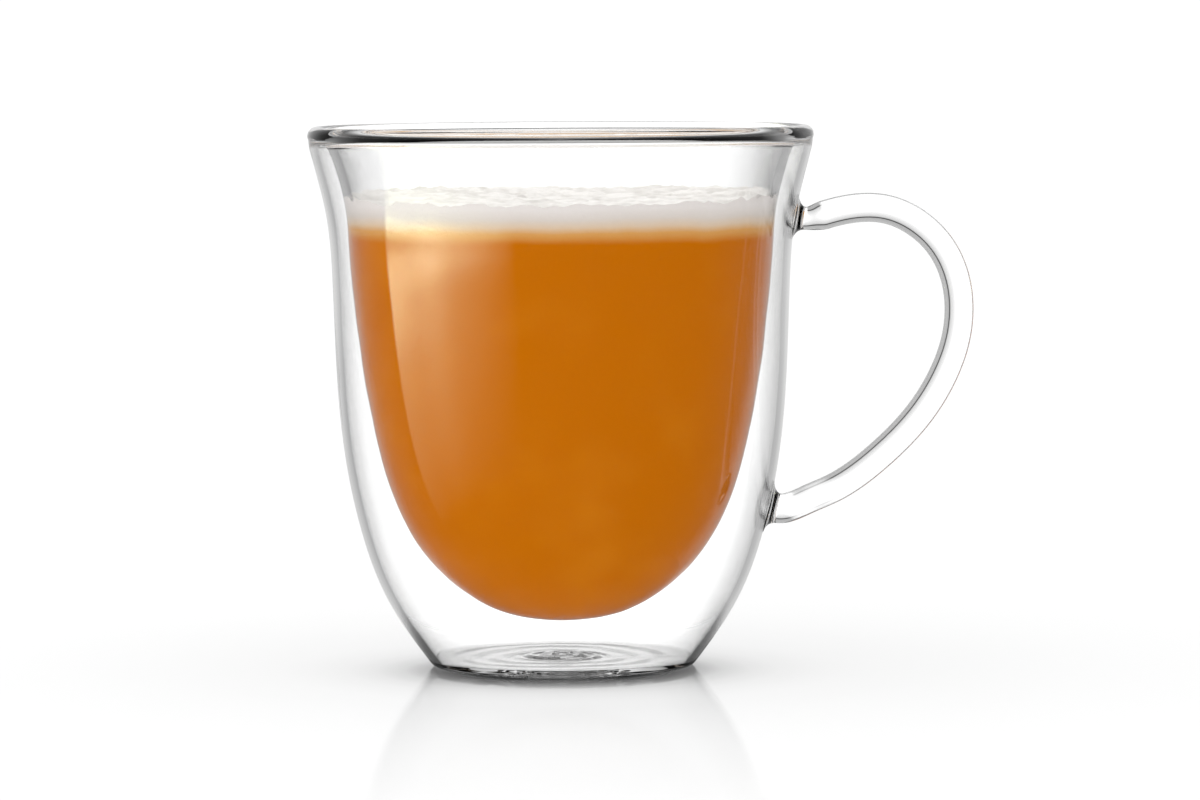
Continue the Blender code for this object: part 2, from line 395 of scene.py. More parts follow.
class Groups:
    """The shared node groups, each built once."""

    made: dict[str, bpy.types.NodeTree] = {}

    @classmethod
    def place(cls, sheet: Sheet, build: Callable, inputs: dict) -> bpy.types.Node:
        """Puts a shared group into a material with its own values, building it the first time.

        Args:
            sheet: the material's sheet.
            build: the function that builds the group.
            inputs: the group's inputs, each a value or a socket.

        Returns:
            The group's node.
        """
        if build.__name__ not in cls.made:
            cls.made[build.__name__] = build()
        made = sheet.node("ShaderNodeGroup", node_tree=cls.made[build.__name__])
        sheet.feed(made, inputs)
        return made


def uneven(sheet: Sheet, place: Socket, scale: float, stretch: float = 1.0) -> Socket:
    """Puts the uneven patches into a material at a scale, and gives their mask."""
    inputs = {"Vector": place, "Scale": scale, "Stretch": stretch}
    return Groups.place(sheet, uneven_group, inputs).outputs["Mask"]


def new_material(name: str) -> tuple[bpy.types.Material, Sheet, bpy.types.Node, bpy.types.Node]:
    """Starts a material: gives it, its sheet, its Principled shader and its output."""
    made = bpy.data.materials.new(name)
    made.use_nodes = True
    tree = made.node_tree
    return made, Sheet(tree), tree.nodes["Principled BSDF"], tree.nodes["Material Output"]


@dataclass(frozen=True)
class ClearGlass:
    """Lamp-worked borosilicate glass, clear, with faint ripples along its walls.

    The share of a lamp's light that passes it is lamp_share.
    """

    name: str = "clear_borosilicate"
    tint: Colour = (1.0, 1.0, 1.0)
    ior: float = 1.47
    ripple: float = 0.00004
    ripple_scale: float = 55.0
    ripple_stretch: float = 0.35
    lamp_share: float = 0.985

    def make(self) -> bpy.types.Material:
        """Builds the glass. Rays from lamps pass it, so that what it holds is lit."""
        made, sheet, shader, output = new_material(self.name)
        sheet.feed(shader, {"Base Color": (*self.tint, 1.0), "Roughness": 0.0})
        sheet.feed(shader, {"IOR": self.ior, "Transmission Weight": 1.0})
        place = sheet.node("ShaderNodeTexCoord").outputs["Object"]
        mask = uneven(sheet, place, self.ripple_scale, self.ripple_stretch)
        inputs = {"Strength": 1.0, "Distance": self.ripple, "Height": mask}
        sheet.feed(shader, {"Normal": sheet.node("ShaderNodeBump", inputs).outputs[0]})
        path = sheet.node("ShaderNodeLightPath").outputs
        lamp = sheet.math("MAXIMUM", path["Is Shadow Ray"], path["Is Diffuse Ray"])
        passed = 3 * (self.lamp_share,)
        clear = sheet.node("ShaderNodeBsdfTransparent", {"Color": (*passed, 1.0)}).outputs[0]
        both = sheet.node("ShaderNodeMixShader", {0: lamp, 1: shader.outputs[0], 2: clear})
        sheet.feed(output, {"Surface": both.outputs[0]})
        return made


@dataclass(frozen=True)
class MilkCoffee:
    """Warm caramel milk coffee, slightly uneven, with foam blending into it from low to high.

    Mirrored in glass or in the floor it is pale, so that its image there stays faint.
    """

    name: str = "milk_coffee"
    colour: Colour = (0.58, 0.153, 0.0004)
    paler: Colour = (0.66, 0.20, 0.006)
    mirrored: Colour = (0.90, 0.89, 0.88)
    low: float = 0.0846
    high: float = 0.0927
    wander: float = 0.0012
    patch_scale: float = 45.0
    patches: Knots = ((0.45, 0.0), (0.72, 0.5))
    roughness: float = 0.5

    def with_head(self, sheet: Sheet, place: Socket, coffee: Feed) -> Socket:
        """Blends the foam into the coffee at the side of the glass.

        Args:
            sheet: the sheet of the material that shows the blend.
            place: the place on the piece.
            coffee: the coffee's colour.

        Returns:
            The colour socket.
        """
        inputs = {"Low": self.low, "High": self.high, "Wander": self.wander}
        inputs.update({"Vector": place, "Coffee": coffee})
        return Groups.place(sheet, head_group, inputs).outputs["Colour"]

    def make(self) -> bpy.types.Material:
        """Builds the coffee's finish."""
        made, sheet, shader, _ = new_material(self.name)
        place = sheet.node("ShaderNodeTexCoord").outputs["Object"]
        mask = uneven(sheet, place, self.patch_scale)
        share = sheet.ramp(mask, self.patches, "EASE")
        coffee = sheet.mix(share, (*self.colour, 1.0), (*self.paler, 1.0))
        path = sheet.node("ShaderNodeLightPath").outputs
        mirrored = sheet.math("GREATER_THAN", path["Glossy Depth"], 0.5)
        seen = self.with_head(sheet, place, coffee)
        colour = sheet.mix(mirrored, seen, (*self.mirrored, 1.0))
        sheet.feed(shader, {"Base Color": colour, "Roughness": self.roughness})
        sheet.feed(shader, {"Specular IOR Level": 0.0})
        return made


@dataclass(frozen=True)
class MilkFoam:
    """Matt off-white milk foam with fine bubbles, its top patched at random with painted shade.

    Its side blends into the coffee. Seen with no glass before it, the top is dimmed to the share
    bare, because glass takes about as much light away.
    """

    name: str = "milk_foam"
    crown: Colour = (0.95, 0.925, 0.89)
    painted_hollow_shade: Colour = (0.76, 0.73, 0.69)
    bare: float = 0.84
    coffee: MilkCoffee = MilkCoffee()
    painted_shade_scale: float = 150.0
    painted_shade_stops: Knots = ((0.34, 0.9), (0.62, 0.0))
    top_from: Knots = ((0.25, 0.0), (0.75, 1.0))
    grain_scale: float = 260.0
    bubble_scale: float = 1400.0
    bubble_depth: float = 0.00012
    bubble_strength: float = 0.5
    roughness: float = 0.75
    gloss: float = 0.2

    def make(self) -> bpy.types.Material:
        """Builds the foam's finish."""
        made, sheet, shader, _ = new_material(self.name)
        place = sheet.node("ShaderNodeTexCoord").outputs["Object"]
        side = self.coffee.with_head(sheet, place, (*self.coffee.colour, 1.0))
        normal = sheet.node("ShaderNodeNewGeometry").outputs["Normal"]
        top = sheet.ramp(sheet.parts(normal)[2], self.top_from, "EASE")
        # Painted shade: random patches darken the top's colour, standing for shaded hollows.
        painted_shade = sheet.ramp(uneven(sheet, place, self.painted_shade_scale), self.painted_shade_stops, "EASE")
        crown = sheet.mix(painted_shade, (*self.crown, 1.0), (*self.painted_hollow_shade, 1.0))
        direct = sheet.node("ShaderNodeLightPath").outputs["Is Camera Ray"]
        crown = sheet.scaled(crown, sheet.blend(direct, 1.0, self.bare))
        bubbles = sheet.node("ShaderNodeTexVoronoi", {"Vector": place, "Scale": self.bubble_scale})
        grain = uneven(sheet, place, self.grain_scale)
        rough = sheet.math("ADD", bubbles.outputs["Distance"], grain)
        inputs = {"Strength": self.bubble_strength, "Distance": self.bubble_depth, "Height": rough}
        bump = sheet.node("ShaderNodeBump", inputs)
        sheet.feed(shader, {"Base Color": sheet.mix(top, side, crown), "Normal": bump.outputs[0]})
        sheet.feed(shader, {"Roughness": self.roughness, "Specular IOR Level": self.gloss})
        return made


# The pieces


@dataclass
class RodHandle:
    """The solid glass rod, bent into a loop and fused to the outer wall at both ends."""

    route: Knots = (
        (0.0533, 0.0900), (0.0588, 0.0911), (0.0650, 0.0908), (0.0709, 0.0881),
        (0.0760, 0.0829), (0.0786, 0.0769), (0.0793, 0.0700), (0.0784, 0.0639),
        (0.0765, 0.0586), (0.0712, 0.0498), (0.0636, 0.0419), (0.0540, 0.0351),
        (0.0490, 0.0329),
    )
    radius: float = 0.00290
    top: Triple = (0.0893, 0.0023, 0.0032)
    low: Triple = (0.0316, 0.0030, 0.0023)
    neck_length: float = 0.0040
    reach: float = 0.0020
    depth: float = 0.0008
    turned: float = 1.5
    sides: int = 48
    rings: int = 260
    crowding: float = 0.7

    def girth(self, from_wall: np.ndarray, joint: Triple) -> np.ndarray:
        """The rod's radius by its distance from a wall.

        A fillet flares by spread * (1 - sqrt(1 - f^2)), f falling from 1 at the wall to 0 at its
        reach, and then the neck eases into the full rod.

        Args:
            from_wall: distances from the wall along the rod.
            joint: the joint's height, neck radius and spread.

        Returns:
            The radii.
        """
        _, neck, spread = joint
        fillet = np.clip(1 - from_wall / self.reach, 0.0, 1.0)
        flare = spread * (1 - np.sqrt(1 - fillet**2))
        grown = smooth_step(self.reach, self.reach + self.neck_length, from_wall)
        return neck + (self.radius - neck) * grown + flare

    def build(self, outer_wall: Knots) -> bpy.types.Object:
        """Carries a circle along the route, from inside one joint to inside the other.

        Ring i is centre + r (cos a * side + sin a * y), where side is the line's normal in the
        XZ plane, turned to lie along the wall from turned * reach down to each joint.

        Args:
            outer_wall: the wall's profile knots.

        Returns:
            The closed rod.
        """
        wall = spline(outer_wall, 400)
        facing = -left_normals(wall)
        rows = [int(np.argmin(np.abs(wall[:, 1] - joint[0]))) for joint in (self.top, self.low)]
        joints = [(wall[row], facing[row]) for row in rows]
        ends = [(point - out * self.depth, point + out * self.reach) for point, out in joints]
        fine = spline([*ends[0], *self.route, *reversed(ends[1])], 2000)
        run = np.concatenate([[0.0], np.cumsum(np.linalg.norm(np.diff(fine, axis=0), axis=1))])
        share = np.linspace(0.0, 1.0, self.rings)
        share = share - self.crowding * np.sin(math.tau * share) / math.tau
        at = share * run[-1]
        line = np.stack([np.interp(at, run, fine[:, axis]) for axis in (0, 1)], axis=1)
        from_top, from_low = at - self.depth, run[-1] - at - self.depth
        girths = np.where(
            from_top < from_low, self.girth(from_top, self.top), self.girth(from_low, self.low)
        )
        across = left_normals(line)
        for from_wall, (_, out), side in zip((from_top, from_low), joints, (1, -1)):
            turn = np.clip(self.turned - from_wall / self.reach, 0.0, 1.0)[:, None]
            across = across * (1 - turn) + side * np.array([-out[1], out[0]]) * turn
        across /= np.linalg.norm(across, axis=1)[:, None]
        angle = np.arange(self.sides) * math.tau / self.sides
        spread = girths[:, None] * np.cos(angle)
        rows_of_points = np.stack(
            [
                line[:, :1] + across[:, :1] * spread,
                girths[:, None] * np.sin(angle),
                line[:, 1:] + across[:, 1:] * spread,
            ],
            axis=2,
        )
        return skin("rod", rows_of_points)


@dataclass
class MugBody:
    """Both walls of the mug, its rim, its foot and the vent in it."""

    outer_wall: Knots = (
        (0.0266, 0.0008), (0.0310, 0.0068), (0.0362, 0.0158), (0.0401, 0.0268),
        (0.0430, 0.0400), (0.0449, 0.0588), (0.0456, 0.0770), (0.0469, 0.0908),
        (0.0488, 0.0988), (0.0501, 0.1038),
    )
    liner: Knots = (
        (0.0000, 0.0092), (0.0040, 0.0094), (0.0117, 0.0108), (0.0221, 0.0168),
        (0.0292, 0.0248), (0.0347, 0.0368), (0.0380, 0.0500), (0.0399, 0.0612),
        (0.0413, 0.0729), (0.0423, 0.0840), (0.0429, 0.0915), (0.0444, 0.0980),
        (0.0457, 0.1020), (0.0466, 0.1046),
    )
    liner_heights: tuple[float, ...] = (0.0092, 0.0300, 0.1046)
    liner_thicknesses: tuple[float, ...] = (0.0020, 0.0016, 0.0017)
    outer_thickness: float = 0.0015
    foot_radius: float = 0.0250
    foot_thickness: float = 0.0020
    boss_radius: float = 0.0080
    boss_rise: float = 0.0009
    vent_radius: float = 0.0018
    bead: Triple = (0.0486, 0.1060, 0.0018)
    bead_ends: Pair = (140.0, -25.0)
    shoulder_rows: int = 8
    shoulder_lead: float = 0.6
    bead_rings: int = 28
    shoulder_rings: int = 40
    floor_rings: int = 60
    gap_arch: float = 0.0016
    least_step: float = 0.0002
    ripple_top: float = 0.0045
    swirl: Pair = (0.0002, 1900.0)
    swirl_fades: Pair = (0.0095, 0.0065)
    waves: Pair = (0.00003, 1100.0)
    waves_rise: Pair = (0.006, 0.010)
    waves_fade: Pair = (0.0245, 0.019)
    sides: int = 160
    wall_rings: int = 96

    def liner_faces(self) -> tuple[np.ndarray, np.ndarray]:
        """The liner's two faces, each from its lowest point up: the gap's side and the drink's."""
        gap_side = spline(self.liner, self.wall_rings)
        thickness = np.interp(gap_side[:, 1], self.liner_heights, self.liner_thicknesses)
        drink_side = gap_side + left_normals(gap_side) * thickness[:, None]
        drink_side[0, 0] = 0.0
        return gap_side, drink_side

    def profile(self) -> np.ndarray:
        """The whole section: drink side, shoulder, bead, outer wall, foot, vent, and the gap."""
        gap_side, drink_side = self.liner_faces()
        top = drink_side[-1]
        bead = arc(self.bead[:2], self.bead[2], *self.bead_ends, self.bead_rings)
        lead = top + self.shoulder_lead * (bead[0] - top)
        knots = [drink_side[-self.shoulder_rows], top, lead, bead[0]]
        shoulder = spline(knots, self.shoulder_rings)
        shoulder = shoulder[shoulder[:, 1] > top[1] + self.least_step][:-1]
        outer = spline(self.outer_wall, self.wall_rings)
        step = outer[1] - outer[0]
        lean = math.degrees(math.atan2(step[1], step[0]))
        corner_tube = (self.outer_wall[0][0] - self.foot_radius) / math.sin(math.radians(lean))
        corner = arc((self.foot_radius, corner_tube), corner_tube, lean - 90.0, -90.0, 8)[1:]
        foot = np.linspace(self.foot_radius, self.vent_radius, 10)[1:]
        foot = np.stack([foot, 0 * foot], axis=1)
        boss_radii = np.linspace(self.vent_radius, self.foot_radius, self.floor_rings)
        swell = np.where(
            boss_radii < self.boss_radius,
            0.5 + 0.5 * np.cos(math.pi * boss_radii / self.boss_radius),
            0.0,
        )
        floor = np.stack([boss_radii, self.foot_thickness + self.boss_rise * swell], axis=1)
        far_side = outer + left_normals(outer) * self.outer_thickness
        heights = np.linspace(self.foot_thickness, gap_side[-1, 1], self.wall_rings)
        far_side = np.stack([radius_at(far_side, heights), heights], axis=1)
        floor = floor[floor[:, 0] < far_side[0, 0] - self.least_step]
        width = far_side[-1, 0] - gap_side[-1, 0]
        gap_top = arc((0.0, 0.0), 1.0, 10.0, 170.0, 17) * (width / 2, self.gap_arch)
        gap_top += (gap_side[-1, 0] + width / 2, gap_side[-1, 1])
        round_rim = [drink_side, shoulder, bead, outer[::-1]]
        return np.vstack([*round_rim, corner, foot, floor, far_side, gap_top, gap_side[::-1]])

    def build(self, handle: RodHandle) -> bpy.types.Object:
        """Turns the section into the mug and fuses the rod to its outer wall.

        Args:
            handle: the rod to join on.

        Returns:
            The mug in one piece.
        """
        mug = skin("mug_glass", self.rippled(revolve(self.profile(), self.sides)), caps=False)
        rod = handle.build(self.outer_wall)
        join = mug.modifiers.new("fused", "BOOLEAN")
        join.operation = "UNION"
        join.solver = "EXACT"
        join.object = rod
        graph = bpy.context.evaluated_depsgraph_get()
        fused = bpy.data.meshes.new_from_object(mug.evaluated_get(graph))
        mug.modifiers.clear()
        mug.data = fused
        bpy.data.objects.remove(rod)
        fused.shade_smooth()
        return mug

    def rippled(self, rows: np.ndarray) -> np.ndarray:
        """Adds the worked glass's ripples to the inside of the foot.

        Where a point lies inside the gap, below ripple_top and within the foot, its height changes
        by a swirl, h cos(k r + 2 a), that fades outwards, and by fainter waves further out. Each
        has its height and its radians per metre.

        Args:
            rows: the mug's points.

        Returns:
            The points with the ripples.
        """
        x, y, z = rows[..., 0], rows[..., 1], rows[..., 2]
        radius = np.hypot(x, y)
        turn = np.arctan2(y, x)
        inside = (z > self.foot_thickness * 0.9) & (z < self.ripple_top)
        inside &= (radius < self.foot_radius) & (radius > self.vent_radius * 1.01)
        height, per_metre = self.swirl
        swirl = np.cos(radius * per_metre + 2 * turn) * height
        swirl *= smooth_step(*self.swirl_fades, radius)
        height, per_metre = self.waves
        uneven_turn = 1.8 * np.sin(turn + 1.0) + 0.9 * np.sin(3 * turn)
        waves = np.cos(radius * per_metre + uneven_turn) * height
        waves *= smooth_step(*self.waves_rise, radius) * smooth_step(*self.waves_fade, radius)
        grown = rows.copy()
        grown[..., 2] = z + np.where(inside, swirl + waves, 0.0)
        return grown


@dataclass
class VentDrop:
    """The drop of glass fused into the vent, flush below and domed above."""

    radius: float = 0.00195
    top: float = 0.0028
    dome: float = 0.0004
    base: float = 0.00005
    sides: int = 64

    def build(self) -> bpy.types.Object:
        """Turns an upright side and a flattened dome into the drop."""
        dome = arc((0.0, self.top), self.radius, 90.0, 0.0, 20)
        dome[:, 1] = self.top + (dome[:, 1] - self.top) * self.dome / self.radius
        side = np.linspace(self.top, self.base, 8)[1:]
        side = np.stack([np.full(len(side), self.radius), side], axis=1)
        profile = np.vstack([dome, side, [(0.0, self.base)]])
        return skin("vent_drop", revolve(profile, self.sides), caps=False)


@dataclass
class Drink:
    """The milk coffee, which reaches just into the liner."""

    level: float = 0.0876
    into_wall: float = 0.0002
    least_step: float = 0.0001
    sides: int = 192

    def outline(self, body: MugBody) -> np.ndarray:
        """The side that coffee and foam share, just inside the glass."""
        _, drink_side = body.liner_faces()
        outline = drink_side - left_normals(drink_side) * self.into_wall
        outline[0, 0] = 0.0
        return outline

    def build(self, body: MugBody) -> bpy.types.Object:
        """Turns the liner's inside up to the drink's level."""
        outline = self.outline(body)
        below = outline[outline[:, 1] < self.level - self.least_step]
        top = np.linspace(radius_at(outline, self.level), 0.0, 12)
        profile = np.vstack([below, np.stack([top, np.full(len(top), self.level)], axis=1)])
        return skin("milk_coffee", revolve(profile, self.sides), caps=False)


@dataclass
class FoamCap:
    """The cap of milk foam, with folds and lumps in its top and a rim that clings to the glass.

    Each of folds is a layer: its size across and to the back, its crest and its weight. Each of
    lumps is its place, its rise and its width.
    """

    drink: Drink
    top: float = 0.0936
    back_rise: float = 0.00085
    side_rise: float = 0.00055
    cling: float = 0.0001
    fold_height: float = 0.0014
    fine_height: float = 0.0006
    folds: Knots = ((0.0130, 0.0085, 0.30, 1.4), (0.0062, 0.0042, 0.25, 0.9))
    fine_size: Pair = (0.0022, 0.0018)
    warp_size: float = 0.012
    warp: float = 0.004
    clings_from: float = 0.93
    beyond_drink: float = 0.00002
    overlap: float = 0.0002
    seeds: tuple[int, ...] = (3, 5, 11, 17)
    sides: int = 256
    rings: int = 110
    side_rings: int = 14
    lumps: Knots = (
        (-0.0385, -0.0120, 0.0004, 0.0030), (-0.0330, -0.0230, -0.0004, 0.0050),
        (0.0260, -0.0330, 0.0003, 0.0060), (0.0360, -0.0180, 0.0004, 0.0045),
    )

    def relief(self, x: np.ndarray, y: np.ndarray, radius: float) -> np.ndarray:
        """How far the foam's top stands above its mean level.

        A tilt towards the back, a climb at the glass, two layers of folds made of ridged noise,
        crest - |noise|, each drawn aside by a broader noise, and lumps of exp(-d^2 / w^2).

        Args:
            x: across.
            y: towards the back.
            radius: the cap's radius.

        Returns:
            The heights.
        """
        away = np.hypot(x, y) / radius
        height = self.back_rise * y / radius + self.side_rise * (x / radius) ** 2
        height += self.cling * smooth_step(self.clings_from, 1.0, away)
        warp_seed, *fold_seeds, fine_seed = self.seeds
        aside = self.warp * gradient_noise(x / self.warp_size, y / self.warp_size, warp_seed)
        ridge = np.zeros_like(x)
        for (across, deep, crest, weight), way, seed in zip(self.folds, (1, -1), fold_seeds):
            noise = gradient_noise((x + way * aside) / across, (y + aside) / deep, seed)
            ridge += (crest - np.abs(noise)) * weight
        fine = gradient_noise(x / self.fine_size[0], y / self.fine_size[1], fine_seed)
        height += self.fold_height * ridge + self.fine_height * fine
        for at_x, at_y, rise, width in self.lumps:
            height += rise * np.exp(-((x - at_x) ** 2 + (y - at_y) ** 2) / width**2)
        return height

    def build(self, body: MugBody) -> bpy.types.Object:
        """Turns the cap and lifts its top by the relief, the top of its side with it."""
        outline = self.drink.outline(body)
        outline[:, 0] += self.beyond_drink
        bottom = self.drink.level - self.overlap
        heights = np.linspace(bottom, self.top, self.side_rings)
        side = np.stack([radius_at(outline, heights), heights], axis=1)
        radii = np.linspace(side[-1, 0], 0.0, self.rings)[1:]
        top = np.stack([radii, np.full(len(radii), self.top)], axis=1)
        under = np.linspace(0.0, side[0, 0], 8)[:-1]
        under = np.stack([under, np.full(len(under), bottom)], axis=1)
        rows = revolve(np.vstack([under, side, top]), self.sides)
        lift = self.relief(rows[..., 0], rows[..., 1], side[-1, 0])
        share = np.clip((rows[..., 2] - bottom) / (self.top - bottom), 0.0, 1.0)
        rows[..., 2] += lift * share
        return skin("milk_foam", rows, caps=False)


# The studio


@dataclass(frozen=True)
class Panorama:
    """What stands round the mug, as grey levels by direction.

    Around goes from -180 degrees behind the viewer over 0 behind the mug to 180, negative on the
    left. Upward goes from -90 below to 90 overhead. The two are multiplied.
    """

    around: Knots
    upward: Knots

    def draw(self, sheet: Sheet, turn: Socket, rise: Socket) -> Socket:
        """Adds the two ramps and their product.

        Args:
            sheet: the world's sheet.
            turn: the socket with the direction's turn, from 0 to 1.
            rise: the socket with its elevation, from 0 to 1.

        Returns:
            The level's socket.
        """
        around = tuple((degrees / 360 + 0.5, level) for degrees, level in self.around)
        upward = tuple((degrees / 180 + 0.5, level) for degrees, level in self.upward)
        levels = sheet.ramp(turn, around), sheet.ramp(rise, upward)
        return sheet.vector("MULTIPLY", *levels)


@dataclass
class Studio:
    """The pale floor, the light and the camera.

    Through_right and through_left give a level by how many degrees glass has bent the sight. The
    box's stops go from its near side to its far side, and from straight down to straight up, as
    those of light do. The floor's stops are shares of floor_reach, and those of the painted contact
    shadow are shares of its reach.
    """

    sight: Triple = (0.0, 0.998, -0.065)
    dark_side: Triple = (0.93, 0.0, 0.37)
    through_right: Knots = (
        (0.0, 1.0), (6.0, 1.0), (10.0, 0.82), (15.0, 0.68), (20.0, 0.58), (26.0, 0.48),
        (29.0, 0.32), (30.0, 0.04), (33.0, 0.04), (35.0, 0.32), (60.0, 0.40), (94.0, 0.55),
        (150.0, 0.90),
    )
    through_left: Knots = (
        (0.0, 1.0), (44.0, 1.0), (55.0, 0.6), (72.0, 0.35), (100.0, 0.45), (150.0, 0.90),
    )
    mirrored: Panorama = Panorama(
        around=(
            (-180.0, 0.0), (-100.0, 0.0), (-70.0, 0.03), (-42.0, 0.22), (-28.0, 0.65),
            (-10.0, 1.0), (8.0, 1.0), (24.0, 0.7), (34.0, 0.70), (50.0, 0.14), (72.0, 0.04),
            (100.0, 0.0), (180.0, 0.0),
        ),
        upward=(
            (-90.0, 0.62), (-6.0, 0.66), (0.0, 0.85), (8.0, 0.85), (24.0, 0.5),
            (32.0, 0.15), (90.0, 0.3),
        ),
    )
    box_near: float = 24.0
    box_far: float = 108.0
    box_level: float = 10.5
    box_depth: float = 2.5
    white: float = 1.05
    side_softness: float = 0.06
    through_level: float = 1.5
    # Painted shade of the floor where it is mirrored in glass.
    painted_mirrored_level: float = 0.62
    box_colour: Colour = (1.0, 1.05, 0.68)
    box_across: Knots = (
        (0.0, 0.0), (0.13, 0.2), (0.42, 0.66), (0.57, 1.0), (0.65, 1.0), (0.74, 0.8),
        (0.975, 0.6), (1.0, 0.0),
    )
    box_upright: Knots = (
        (0.30, 0.0), (0.345, 0.07), (0.367, 0.12), (0.394, 0.20), (0.42, 0.31),
        (0.431, 0.45), (0.439, 0.65), (0.447, 1.0), (0.458, 1.0), (0.465, 0.5),
        (0.475, 0.15), (0.52, 0.0),
    )
    light: Knots = ((0.0, 1.12), (0.48, 1.0), (0.52, 1.0), (0.75, 1.3), (1.0, 1.38))
    light_lean: float = 0.16
    floor_radius: float = 0.9
    floor_level: float = -0.0001
    floor_sides: int = 128
    floor_rings: int = 12
    floor_colour: Colour = (0.82, 0.82, 0.82)
    # Where the painted dark of the floor mirrored in front of the mug sets in.
    floor_front: Pair = (0.09, -0.02)
    painted_front_level: float = 0.03
    # Painted contact shadow: the floor's colour by distance from a point just in front of the
    # foot's centre.
    painted_contact_shadow: Knots = (
        (0.19, 0.06), (0.25, 0.24), (0.28, 0.42), (0.315, 0.66), (0.373, 0.85),
        (0.43, 0.94), (0.5, 0.98), (0.56, 1.0),
    )
    painted_shadow_shift: Triple = (0.0, 0.008, 0.0)
    painted_shadow_reach: float = 0.1
    floor_reach: float = 0.25
    floor_gloss: Knots = ((0.1, 0.3), (0.3, 0.28), (0.7, 0.14), (1.0, 0.0))
    floor_end: Knots = ((0.13, 0.0), (0.26, 1.0))
    gloss_blur: float = 0.05
    camera_place: Triple = (0.0076, -1.150, 0.1285)
    camera_down: float = 3.756
    camera_roll: float = -0.28
    lens: float = 173.1
    bounces: int = 28
    glossy_bounces: int = 16
    clear_bounces: int = 32

    def world(self) -> None:
        """Lights the scene from all round, and shows glass its bright and dark surroundings.

        What is seen directly is white. What is seen through glass darkens by how far glass has
        bent the sight, more so on the right. What is mirrored in glass is the panorama, and in the
        liner also a tall light box at the front left. Matt things, and the floor's blurred gloss,
        get an even light, most from above and a little more from the left.
        """
        world = bpy.data.worlds.new("studio")
        world.use_nodes = True
        bpy.context.scene.world = world
        sheet = Sheet(world.node_tree)
        way = sheet.node("ShaderNodeTexCoord").outputs["Generated"]
        x, y, z = sheet.parts(way)
        turn = sheet.math("DIVIDE", sheet.math("ARCTAN2", x, y), math.tau)
        turn = sheet.math("ADD", turn, 0.5)
        rise = sheet.math("DIVIDE", sheet.math("ARCSINE", z), math.pi)
        rise = sheet.math("ADD", rise, 0.5)
        path = sheet.node("ShaderNodeLightPath").outputs
        seen_through = sheet.math("MULTIPLY", self.seen_through(sheet, way), self.through_level)
        deep = sheet.math("GREATER_THAN", path["Transmission Depth"], self.box_depth)
        box = sheet.math("MULTIPLY", self.light_box(sheet, turn, rise), deep)
        around = self.mirrored.draw(sheet, turn, rise)
        seen_in = sheet.vector("ADD", around, sheet.scaled(self.box_colour, box))
        mirrored = sheet.math("GREATER_THAN", path["Glossy Depth"], 0.5)
        glass = sheet.mix(mirrored, seen_through, seen_in)
        lean = sheet.math("MULTIPLY_ADD", x, -self.light_lean, 1.0)
        lamp = sheet.scaled(sheet.ramp(rise, self.light), lean)
        sharp = sheet.math("MULTIPLY", path["Is Glossy Ray"], path["Is Singular Ray"])
        level = sheet.mix(sharp, lamp, seen_in)
        level = sheet.mix(path["Is Transmission Ray"], level, glass)
        level = sheet.mix(path["Is Camera Ray"], level, (self.white, self.white, self.white, 1.0))
        sheet.feed(world.node_tree.nodes["Background"], {"Color": level})

    def seen_through(self, sheet: Sheet, way: Socket) -> Socket:
        """Draws rings of grey round the line of sight, those on the right apart from the left's.

        Args:
            sheet: the world's sheet.
            way: the direction looked in.

        Returns:
            The level's socket.
        """
        bent = sheet.math("DIVIDE", sheet.math("ARCCOSINE", sheet.dot(way, self.sight)), math.pi)
        aside = sheet.dot(way, self.dark_side)
        side = sheet.share(aside, -self.side_softness, self.side_softness)
        left, right = (
            sheet.ramp(bent, tuple((degrees / 180, level) for degrees, level in knots))
            for knots in (self.through_left, self.through_right)
        )
        return sheet.mix(side, left, right)

    def light_box(self, sheet: Sheet, turn: Socket, rise: Socket) -> Socket:
        """Draws a tall light box at the front left, sharp on its far edge, fading to the front.

        Args:
            sheet: the world's sheet.
            turn: the direction's turn, from 0 to 1, whose ends meet behind the viewer.
            rise: the direction's elevation, from 0 to 1.

        Returns:
            The box's level in that direction.
        """
        share = sheet.share(turn, self.box_near / 360, self.box_far / 360)
        across = sheet.ramp(share, self.box_across)
        upright = sheet.ramp(rise, self.box_upright)
        return sheet.math("MULTIPLY", sheet.math("MULTIPLY", across, upright), self.box_level)

    def floor(self) -> None:
        """Lays a round pale floor. It casts no shadow, so that light also comes from below."""
        angle = np.arange(self.floor_sides) * math.tau / self.floor_sides
        radii = np.linspace(0.0, 1.0, self.floor_rings)[:, None] ** 2 * self.floor_radius
        rows = np.stack([radii * np.cos(angle), radii * np.sin(angle), 0 * radii * angle], axis=2)
        rows[..., 2] = self.floor_level
        made = skin("pale_floor", rows, caps=False)
        if made.data.polygons[0].normal.z < 0:
            made.data.flip_normals()
        made.data.materials.append(self.floor_finish())
        made.visible_shadow = made.visible_diffuse = False

